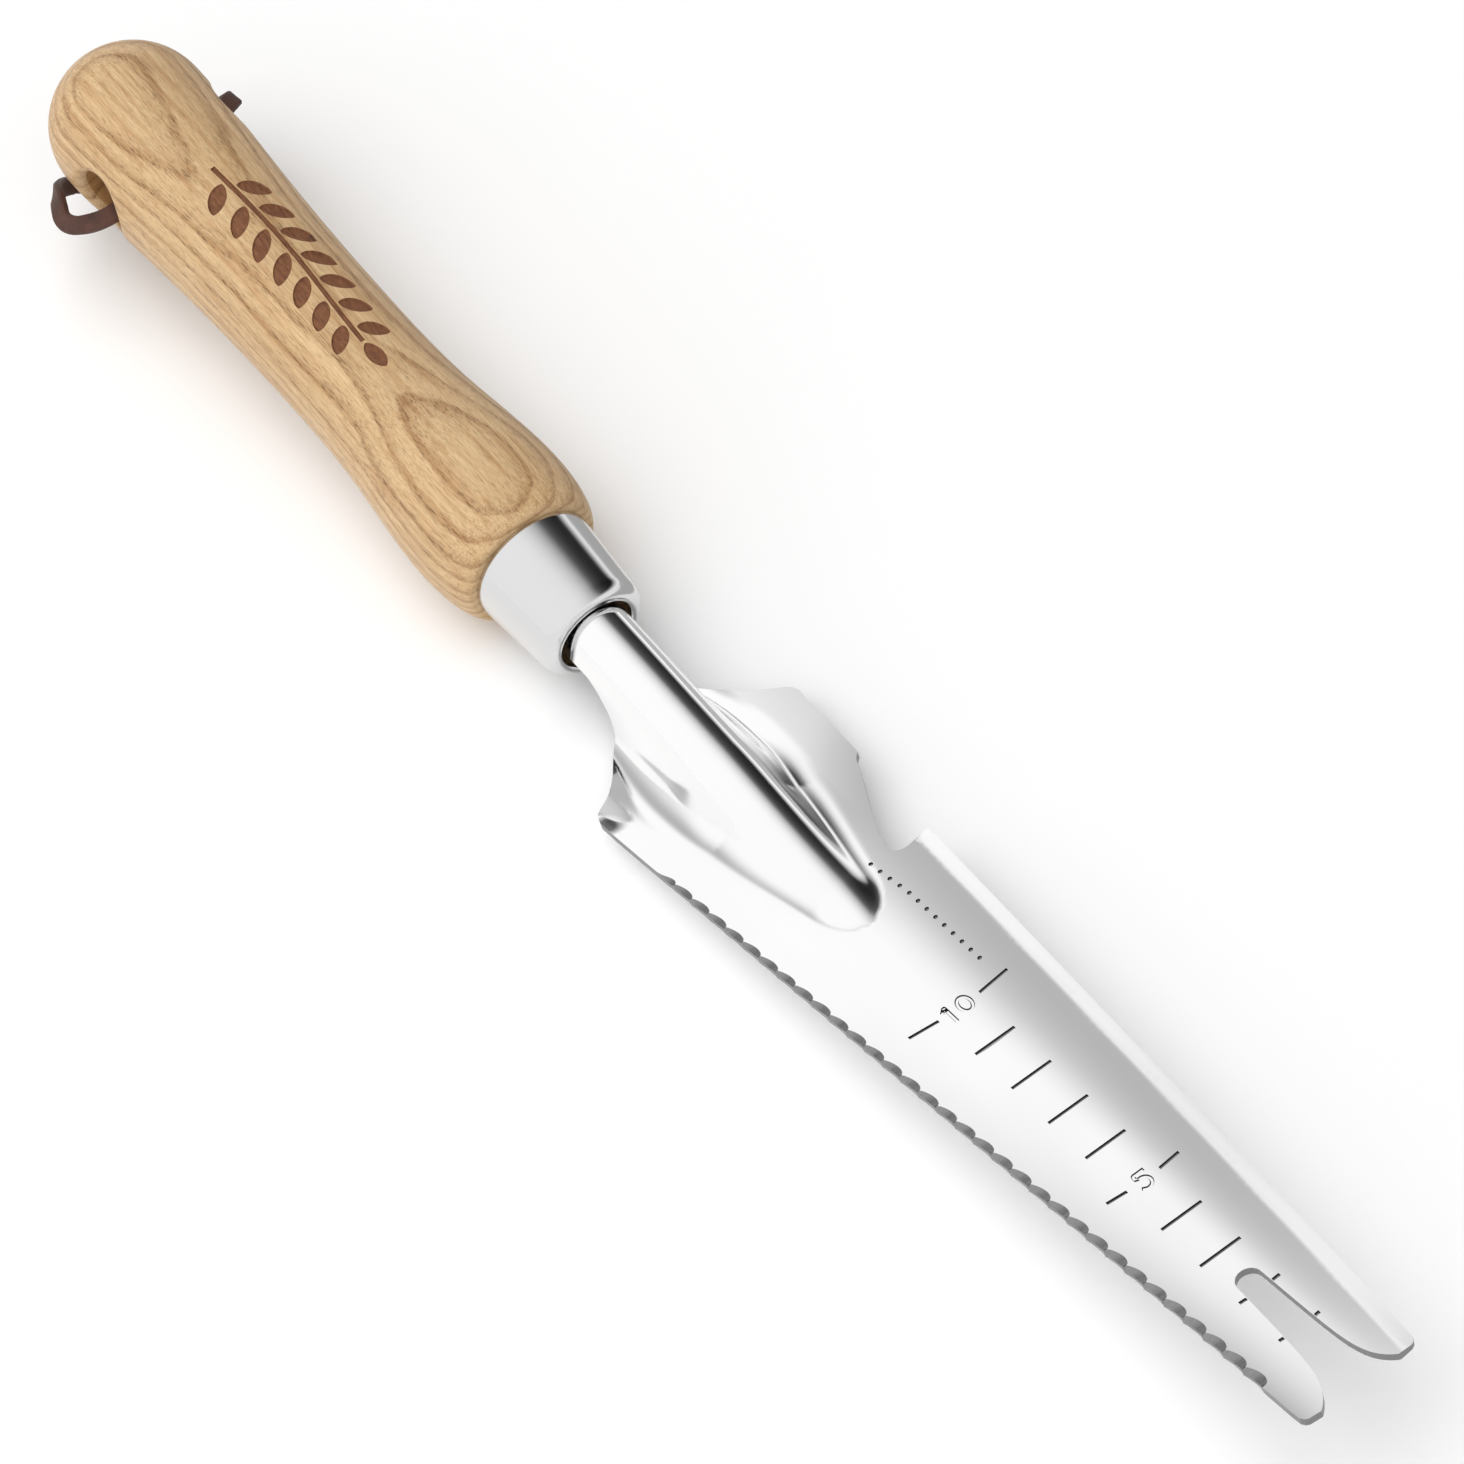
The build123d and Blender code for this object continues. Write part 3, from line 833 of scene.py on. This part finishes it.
def build_blade():
    tri = triangles.copy()
    # keep every triangle turning the same way
    turned = cross_of(flat, tri) > 0
    tri[turned] = tri[turned][:, ::-1]
    middles = flat[tri].mean(axis=1)
    regions = regions_of(middles[:, 0], middles[:, 1])
    top, bottom, down = sheet_points(tri, regions)
    corner = corner_normals(tri, middles, regions)
    walled = np.ptp(sunk[tri], axis=1) > 0.01
    floored = sunk[tri].min(axis=1) > 0.01
    flat_normals = cross_of(top, tri)
    flat_normals /= np.linalg.norm(flat_normals, axis=1, keepdims=True)
    corner[walled] = flat_normals[walled][:, None]
    # the numbers are outlined only: their floors keep the polish
    half = NUMBER_SPACING / 2
    from_number = np.abs((middles[:, 0] - half) % NUMBER_SPACING - half)
    floored &= (np.abs(middles[:, 1]) >= NUMBER_HALF_Y) | (from_number >= NUMBER_HALF_K)

    count = len(flat)
    faces = [tuple(int(i) for i in face) for face in tri]
    kinds = np.where(regions == FACETED, WHEEL_GROUND, POLISHED)
    # the marks' walls take the near-black painted shade, their floors the grey ground finish
    kinds = list(np.where(walled, MARK_WALL, np.where(floored, MARK_BED, kinds)))
    normals = list(corner.reshape(-1, 3))
    for face in tri:
        faces.append(tuple(int(i) + count for i in face[::-1]))
        normals += [down[i] for i in face[::-1]]
        kinds.append(POLISHED)
    # an edge that only one triangle has is on the outline, and gets a cut face
    both = np.concatenate((top, bottom))
    pairs = {(int(i), int(j)): True for face in tri for i, j in zip(face, np.roll(face, -1))}
    for i, j in pairs:
        if (j, i) not in pairs:
            quad = (j, i, i + count, j + count)
            faces.append(quad)
            out = np.cross(both[quad[1]] - both[quad[0]], both[quad[3]] - both[quad[0]])
            normals += [out / np.linalg.norm(out)] * 4
            kinds.append(CUT)
    materials = [BLADE_STEEL, GROUND, SHEARED, PAINTED_SHADE_WALLS, MARK_FLOOR]
    piece = make_mesh("blade_forked", both, faces, materials, kinds, normals)
    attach(piece, "knife")
    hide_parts("blade")


build_blade()


# ---- Handle ----
def clamped_spline(points):
    """A cubic spline through points that is level at both ends."""
    x, y = (np.array(v, float) for v in zip(*points))
    n = len(x)
    m, rhs = np.eye(n), np.zeros(n)
    for i in range(1, n - 1):
        a, b = x[i] - x[i - 1], x[i + 1] - x[i]
        m[i, i - 1 : i + 2] = (b, 2 * (a + b), a)
        rhs[i] = 3 * (b * (y[i] - y[i - 1]) / a + a * (y[i + 1] - y[i]) / b)
    slope = np.linalg.solve(m, rhs)

    def value(v):
        i = np.clip(np.searchsorted(x, v) - 1, 0, n - 2)
        h = x[i + 1] - x[i]
        t = (v - x[i]) / h
        return (
            y[i] * (1 + 2 * t) * (1 - t) ** 2 + y[i + 1] * t * t * (3 - 2 * t)
            + h * (slope[i] * t * (1 - t) ** 2 - slope[i + 1] * t * t * (1 - t))
        )

    return value


body_radius = clamped_spline([(BUTT_CENTRE, BUTT_R), *WAIST, (SWELL_S, SWELL_R)])


def handle_radius(s):
    s = np.asarray(s, float)
    dome = np.sqrt(np.maximum(BUTT_R**2 - (s - BUTT_CENTRE) ** 2, 0))
    body = body_radius(np.clip(s, BUTT_CENTRE, SWELL_S))
    part = np.clip((s - SWELL_S) / -SWELL_S, 0, 1)
    shoulder = SHOULDER_R + (SWELL_R - SHOULDER_R) * np.sqrt(1 - part**2)
    return np.where(s < BUTT_CENTRE, dome, np.where(s < SWELL_S, body, shoulder))


def handle_place(s, turn, sunk=0.0):
    """A point of the wood at angle turn from the top, with the hole's rounded mouths."""
    radius = handle_radius(s) - sunk
    y, rise = radius * np.sin(turn), radius * np.cos(turn)
    reach = np.hypot(s - HOLE_S, rise)
    edge = HOLE_R + HOLE_ROUND
    inside = np.clip(edge - reach, 0, HOLE_ROUND)
    drop = HOLE_ROUND - np.sqrt(HOLE_ROUND**2 - inside**2)
    drop = np.where(np.abs(y) > MOUTH_LEAST_Y, drop, 0)
    return in_row(s, y - np.sign(y) * drop, rise)


COLUMNS = 144
STEP = 2 * pi / COLUMNS
dome_rows = [BUTT_CENTRE - BUTT_R * cos(a) for a in np.linspace(0.06, pi / 2, 26)]
body_rows = list(np.linspace(BUTT_CENTRE, SWELL_S, 96))[1:]
shoulder_rows = [SWELL_S - SWELL_S * sin(a) for a in np.linspace(0, pi / 2, 18)][1:]
rows = dome_rows + body_rows + shoulder_rows


def patch_range(low, high):
    """The rows nearest to two places along the axis."""
    return [min(range(len(rows)), key=lambda i: abs(rows[i] - s)) for s in (low, high)]


mouth_rows = patch_range(HOLE_S - 9.6, HOLE_S + 9.8)
sprig_rows = patch_range(TWIG_START - 4.5, TWIG_END + 10.5)
# finer patches of the grid: rows, columns, and the side that a mouth of the hole is on
PATCHES = [
    (*mouth_rows, 19, 53, 1),
    (*mouth_rows, -53, -19, -1),
    (*sprig_rows, -11, 14, 0),  # the burned sprig on top
]
UNROLL = 14.0  # millimetres per radian in a patch's layout
OUTER, BURNT, BORE = range(3)  # the handle's material slots


def leaf_loop(s, across, heading, length, width, inset=0.0):
    """A pointed leaf from its stalk end, in the layout of the top patch."""
    loop = []
    for a in full_turn(28):
        along = (length / 2 - inset * 1.6) * -cos(a) + length / 2
        out = (width / 2 - inset) * sin(a) * abs(sin(a)) ** 0.35
        loop.append((
            s + along * cos(heading) - out * sin(heading),
            across + along * sin(heading) + out * cos(heading),
        ))
    return loop


def twig_middle(s):
    """The gentle wave of the twig's middle line."""
    return 1.6 + 0.9 * sin((s + 95) / 11.0)


def sprig(layout):
    """A plain leafy twig, burned into the wood."""
    stem = [(s, twig_middle(s)) for s in np.linspace(TWIG_START, TWIG_END, 40)]
    layout.groove(stroke_loop(stem, 0.5), stroke_loop(stem, 0.34), 0.25)
    leaves = []
    for i, s in enumerate(np.linspace(FIRST_LEAVES, LAST_LEAVES, LEAF_PAIRS)):
        for side in (-1, 1):
            stalk = s + (1.6 if side > 0 else 0.0)
            length = 7.4 - 0.35 * abs(i - 2.5)
            leaves.append((stalk, twig_middle(stalk) + side * 1.0, side * radians(50), length, 3.4))
    leaves.append((TWIG_END + 1.1, twig_middle(TWIG_END), 0.0, 6.6, 3.2))
    for leaf in leaves:
        layout.groove(leaf_loop(*leaf), leaf_loop(*leaf, inset=0.2), 0.3)


def mouth_ring(side, reach):
    """A ring round a mouth of the hole, in the layout of its patch."""
    ring = []
    for a in full_turn(48):
        s, rise = HOLE_S + reach * cos(a), reach * sin(a)
        turn = np.arccos(rise / handle_radius(s))
        ring.append((s, float(side * turn * UNROLL)))
    return ring


def patch(low_row, high_row, low_column, high_column, side):
    """Triangles for one patch, as (points, faces, which material)."""
    layout = Layout()
    bottom = [(rows[low_row], c * STEP * UNROLL) for c in range(low_column, high_column)]
    right_side = [(rows[r], high_column * STEP * UNROLL) for r in range(low_row, high_row)]
    top = [(rows[high_row], c * STEP * UNROLL) for c in range(high_column, low_column, -1)]
    left_side = [(rows[r], low_column * STEP * UNROLL) for r in range(high_row, low_row, -1)]
    outline = layout.line(bottom + right_side + top + left_side, closed=True)
    if side:
        for turned in (90, 72, 56, 42, 28, 14, 0):  # degrees round the mouth's rounding
            reach = HOLE_R + HOLE_ROUND - HOLE_ROUND * sin(radians(turned))
            layout.line(mouth_ring(side, reach), closed=True)
        spacing, clearance = 1.0, 0.5
    else:
        sprig(layout)
        spacing, clearance = 0.75, 0.3
    along = np.arange(rows[low_row] + 0.5, rows[high_row] - 0.4, spacing)
    around = np.arange(
        low_column * STEP * UNROLL + 0.4, high_column * STEP * UNROLL - 0.4, spacing
    )
    layout.fill([(s, a) for s in along for a in around], clearance)
    places, faces, depth = layout.triangulate(outline)
    points = handle_place(places[:, 0], places[:, 1] / UNROLL, depth)
    kept, kinds = [], []
    for face in faces:
        middle = places[list(face)].mean(axis=0)
        if side:
            rise = handle_radius(middle[0]) * cos(middle[1] / UNROLL)
            if hypot(middle[0] - HOLE_S, rise) < HOLE_R - 0.02:
                continue
        kept.append(face)
        kinds.append(BURNT if depth[list(face)].max() > 0 else OUTER)
    return points, kept, kinds


def in_patch(row, column):
    """Whether a finer patch stands in for this face of the grid."""
    for low, high, first, last, _ in PATCHES:
        columns = [column, column - COLUMNS]
        if low <= row < high and any(first <= c < last for c in columns):
            return True
    return False


def build_handle():
    points, faces = [], []
    turns = np.arange(COLUMNS) * STEP
    for s in rows:
        points += list(handle_place(np.full(COLUMNS, s), turns))
    # the flat shoulder, the tenon inside the ferrule, and its end
    points += ring_points(0.0, TENON_R, turns)
    points += ring_points(TENON_L, TENON_R - FERRULE_TAPER * TENON_L, turns)
    last_ring = len(rows) + 1
    for r in range(last_ring):
        faces += [ring_quad(r, c, COLUMNS) for c in range(COLUMNS) if not in_patch(r, c)]
    for ring, s in ((0, BUTT_CENTRE - BUTT_R), (last_ring, TENON_L)):
        points.append(in_row(s, 0.0, 0.0))
        for c in range(COLUMNS):
            faces.append((ring * COLUMNS + c, ring * COLUMNS + (c + 1) % COLUMNS, len(points) - 1))
    kinds = [OUTER] * len(faces)
    for place in PATCHES:
        more, more_faces, more_kinds = patch(*place)
        start = len(points)
        points += list(more)
        faces += [tuple(start + i for i in f) for f in more_faces]
        kinds += more_kinds
    # the bore between the two mouths
    ends = []
    for side in (1, -1):
        ring = np.array(mouth_ring(side, HOLE_R))
        ends.append(handle_place(ring[:, 0], ring[:, 1] / UNROLL))
    start, around, lengths = len(points), len(ends[0]), 9
    for t in np.linspace(0, 1, lengths):
        points += list(ends[0] * (1 - t) + ends[1] * t)
    for i in range(lengths - 1):
        faces += [ring_quad(i, j, around, start) for j in range(around)]
        kinds += [BORE] * around
    piece = make_mesh("handle_turned", points, faces, [WOOD, BURNED, BORE_WOOD], kinds, merge=True)
    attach(piece, "knife")
    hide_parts("handle")


build_handle()


# ---- Ferrule: a spun cup with a rolled lip ----
def arc(centre, radius, start, end, steps):
    return [
        (centre[0] + radius * cos(a), centre[1] + radius * sin(a))
        for a in np.linspace(start, end, steps)
    ]


def build_ferrule():
    lip_s = FERRULE_L - LIP_R
    outer = FERRULE_REAR_R - FERRULE_TAPER * lip_s
    slope = np.arctan(FERRULE_TAPER)
    profile = [(0.0, FERRULE_REAR_R - 0.5), (0.03, FERRULE_REAR_R - 0.12), (0.25, FERRULE_REAR_R)]
    profile += [(s, FERRULE_REAR_R - FERRULE_TAPER * s) for s in np.linspace(1.0, lip_s, 12)]
    lip_centre = (lip_s - LIP_R * sin(slope), outer - LIP_R * cos(slope))
    profile += arc(lip_centre, LIP_R, pi / 2 - slope, 0.12, 12)[1:]
    roll_centre = (FERRULE_L - 0.95, MOUTH_R + ROLL_R)
    profile += arc(roll_centre, ROLL_R, 0.1, -pi / 2, 8)
    profile += [(FERRULE_L - 2.4, MOUTH_R), (FERRULE_L - 2.9, MOUTH_R + 1.0), (lip_s - 1.2, 9.1),
                (0.0, FERRULE_REAR_R - FERRULE_WALL)]
    around = 128
    turns = full_turn(around)
    points, faces = [], []
    for s, radius in profile:
        points += ring_points(s, radius, turns)
    for r in range(len(profile)):
        for c in range(around):
            d, q = (c + 1) % around, (r + 1) % len(profile)
            faces.append((r * around + c, q * around + c, q * around + d, r * around + d))
    piece = make_mesh("ferrule_spun", points, faces, [FERRULE_STEEL], merge=True)
    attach(piece, "knife")
    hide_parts("ferrule")


build_ferrule()

for node in ("tang", "neck_weld"):
    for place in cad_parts[node].material_slots:
        place.material = TANG_STEEL


# ---- Thong ----
# One strap through the hole, in two runs from the middle of the bore to the knot.
# The points are offsets from the middle of the hole.
HOLE = JOINT + ALONG * HOLE_S
LEFT_RUN = [(1.5, 0.0, -1.0), (2.8, -9.0, -0.6), (3.2, -16.0, -1.0), (-3.0, -21.5, -3.6),
            (-10.4, -18.4, -3.8), (-18.0, -15.3, -10.0), (-21.8, -9.3, -16.6),
            (-21.6, -3.4, -21.6)]
RIGHT_RUN = [(1.5, 0.0, -1.0), (-1.5, 9.0, -0.8), (-4.3, 17.0, -0.5), (-8.0, 18.8, -4.6),
             (-13.4, 17.0, -10.3), (-18.2, 12.6, -15.5), (-21.5, 8.0, -20.0), (-21.6, 3.4, -21.6)]
KNOT = np.array((-22.0, 0.0, -21.45))


def spline_points(name, offsets):
    """Points along the route's own NURBS spline, in metres."""
    curve = bpy.data.curves.new(name, "CURVE")
    curve.dimensions = "3D"
    curve.resolution_u = 24
    spline = curve.splines.new("NURBS")
    spline.points.add(len(offsets) - 1)
    for point, offset in zip(spline.points, offsets):
        point.co = (*(HOLE + offset) * MM, 1)
    spline.order_u = 3
    spline.use_endpoint_u = True
    holder = bpy.data.objects.new(name, curve)
    mesh = bpy.data.meshes.new_from_object(holder)
    points = [np.array(v.co) for v in mesh.vertices]
    bpy.data.objects.remove(holder)
    return np.array(points)


def strap(name, offsets, mouth_side):
    line = spline_points(name + "_route", offsets)
    ahead = np.gradient(line, axis=0)
    ahead /= np.linalg.norm(ahead, axis=1, keepdims=True)
    # the strap's broad face turns from facing up in the hole to facing out beside it
    count = len(line)
    part = np.linspace(0, 1, count)[:, None]
    facing = np.array((0.25, 0.0, 1.0)) * (1 - smooth(part, 0.2, 0.4))
    facing = facing + np.array((0.35, mouth_side * 0.65, 0.65)) * smooth(part, 0.2, 0.4)
    across = np.cross(ahead, facing)
    across /= np.linalg.norm(across, axis=1, keepdims=True)
    thick = np.cross(across, ahead)
    half_w, half_t, soft = STRAP_WIDTH / 2 * MM, STRAP_THICK / 2 * MM, 0.35 * MM
    section_loop = []
    for x_side, t_side in ((1, 1), (-1, 1), (-1, -1), (1, -1)):
        corner = [(half_w - soft, half_t), (half_w, half_t - soft)]
        if x_side * t_side > 0:
            corner.reverse()
        section_loop += [(x_side * a, t_side * b) for a, b in corner]
    points = []
    for p, a, t in zip(line, across, thick):
        points += [(p + a * x + t * y) / MM for x, y in section_loop]
    faces = tube_faces(count, len(section_loop))
    piece = make_mesh(name, points, faces, [LEATHER], merge=True)
    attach(piece, "thong")
    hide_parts("thong")


# a band's section, with its worn corners, in halves of its width and thickness
BAND_SECTION = [(-1, -0.7), (-0.8, -1), (0.8, -1), (1, -0.7), (1, 0.7), (0.8, 1), (-0.8, 1), (-1, 0.7)]
STRAIGHT_UP = np.array((0.0, 0.0, 1.0))


def band_points(run, facings, width, thick):
    """A flat band along a run of points, whose broad side faces the given way at each."""
    run = np.array(run)
    points = []
    for p, ahead, up in zip(run, np.gradient(run, axis=0), facings):
        ahead = ahead / np.linalg.norm(ahead)
        over = np.cross(ahead, up)
        over /= np.linalg.norm(over)
        up = np.cross(over, ahead)
        points += [p + over * x * width / 2 + up * t * thick / 2 for x, t in BAND_SECTION]
    return points


def build_knot():
    """An overhand knot: a band wound over itself, with two cut tails behind it."""
    centre = HOLE + KNOT
    bands = []
    for lean, swing in ((0.35, 0.0), (-0.9, 0.6), (1.3, 1.9)):
        loop = []
        for a in np.linspace(0, 2 * pi, 40):
            x, y, z = cos(a), sin(a), 0.18 * sin(2 * a + swing)
            turned = (x * cos(lean) - z * sin(lean), y, x * sin(lean) + z * cos(lean))
            loop.append(centre + KNOT_LOOP_R * np.array(turned))
        outward = [(p - centre) / np.linalg.norm(p - centre) for p in loop]
        bands.append(band_points(loop, outward, *KNOT_BAND))
    core = [centre + (x, 0.0, 0.0) for x in np.linspace(-1.8, 1.8, 6)]
    bands.append(band_points(core, [STRAIGHT_UP] * len(core), *KNOT_CORE))
    for side in (-1, 1):
        heading = radians(180 + side * TAIL_SPLAY)
        tail = []
        for d in np.linspace(TAIL_START, TAIL_END, 22):
            drop = -2.95 * smooth(d, TAIL_START, 7.5) + 0.15
            tail.append(centre + (cos(heading) * d, sin(heading) * d + side * 0.9, drop))
        bands.append(band_points(tail, [STRAIGHT_UP] * len(tail), *TAIL_BAND))
    points, faces = [], []
    around = len(BAND_SECTION)
    for band in bands:
        faces += tube_faces(len(band) // around, around, len(points))
        points += band
    piece = make_mesh("thong_knot_tied", points, faces, [LEATHER])
    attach(piece, "thong")
    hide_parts("thong_knot")
    return piece


knot = build_knot()
strap("thong_left", LEFT_RUN, -1)
strap("thong_right", RIGHT_RUN, 1)


# ---- Studio: pale floor, soft light all round, and what the steel shows ----
def rectangle(name, low, high, height, material):
    corners = [(low[0], low[1]), (high[0], low[1]), (high[0], high[1]), (low[0], high[1])]
    return make_mesh(name, [(x, y, height) for x, y in corners], [(0, 1, 2, 3)], [material])


def build_floor():
    paper = Shader("paper", Roughness=0.9)
    grain = paper.noise((0.01, 0.01, 0.01), 2.0)
    colour = paper.ramp(grain, [(0.0, (0.93,) * 3), (1.0, (0.95,) * 3)])
    paper.finish(Base_Color=colour)
    rectangle("floor", (-12000.0, -12000.0), (12000.0, 12000.0), 0.0, paper.material)


def build_world():
    world = bpy.data.worlds.new("studio")
    bpy.context.scene.world = world
    world.use_nodes = True
    shader = Nodes(world.node_tree)
    direction = shader.add("SeparateXYZ", {0: shader.add("TexCoord").outputs["Generated"]})
    x, y, z = direction.outputs

    def darkness(value, stops):
        """A smooth level along value, from (place, level) stops between -1 and 1."""
        share = shader.span(value, -1, 1, 0, 1)
        return shader.ramp(share, [((a + 1) / 2, (b,) * 3) for a, b in stops], "B_SPLINE")

    # a grey wall beyond the butt, which the right half of the dish shows
    wall = shader.math(
        "MULTIPLY",
        darkness(y, [(-0.9, 0), (-0.5, 0.46), (-0.12, 0.62), (0.05, 0.46), (0.17, 0.10), (0.27, 0)]),
        shader.span(x, -0.52, -0.68, 0, 1),
    )
    # a black flag on the right, soft on top and sharp underneath, which the ridge shows
    bounds = shader.math(
        "MULTIPLY", shader.span(x, -0.70, -0.52, 0, 1), shader.span(z, 0.06, 0.26, 0, 1)
    )
    flag = shader.math(
        "MULTIPLY",
        darkness(y, [(-0.1, 0), (0.2, 0.15), (0.45, 0.5), (0.62, 0.97), (1.0, 1.0)]),
        bounds,
    )
    open_sky = shader.math("SUBTRACT", 1.06, wall)
    level = shader.math("MULTIPLY", open_sky, shader.math("SUBTRACT", 1.0, flag))
    colour = shader.add("CombineColor", {0: level, 1: level, 2: level}).outputs[0]
    background = shader.tree.nodes["Background"]
    background.inputs["Strength"].default_value = 1.0
    shader.put(background.inputs["Color"], colour)


def build_card():
    """A grey card lying on the right, which only the steel's reflections show."""
    grey = Shader("card_grey", Roughness=0.9)
    tone = grey.ramp(grey.noise((0.01,) * 3), [(0.0, (0.42,) * 3), (1.0, (0.48,) * 3)])
    grey.finish(Base_Color=tone)
    card = rectangle("card", (-330.0, 30.0), (40.0, 700.0), 0.5, grey.material)
    card.visible_camera = False
    card.visible_shadow = False
    card.visible_diffuse = False


def build_key_light():
    """One broad soft light, high up in front of the knife's left side."""
    place = Vector((-0.3, -0.5, 2.1))
    light = bpy.data.lights.new("key", "AREA")
    light.shape = "SQUARE"
    light.size = 2.2
    light.energy = 21
    lamp = bpy.data.objects.new("key", light)
    lamp.location = place
    lamp.rotation_mode = "QUATERNION"
    lamp.rotation_quaternion = (-place).to_track_quat("-Z", "Y")
    lamp.visible_camera = False
    lamp.visible_glossy = False
    bpy.context.collection.objects.link(lamp)


build_floor()
build_world()
build_card()
build_key_light()
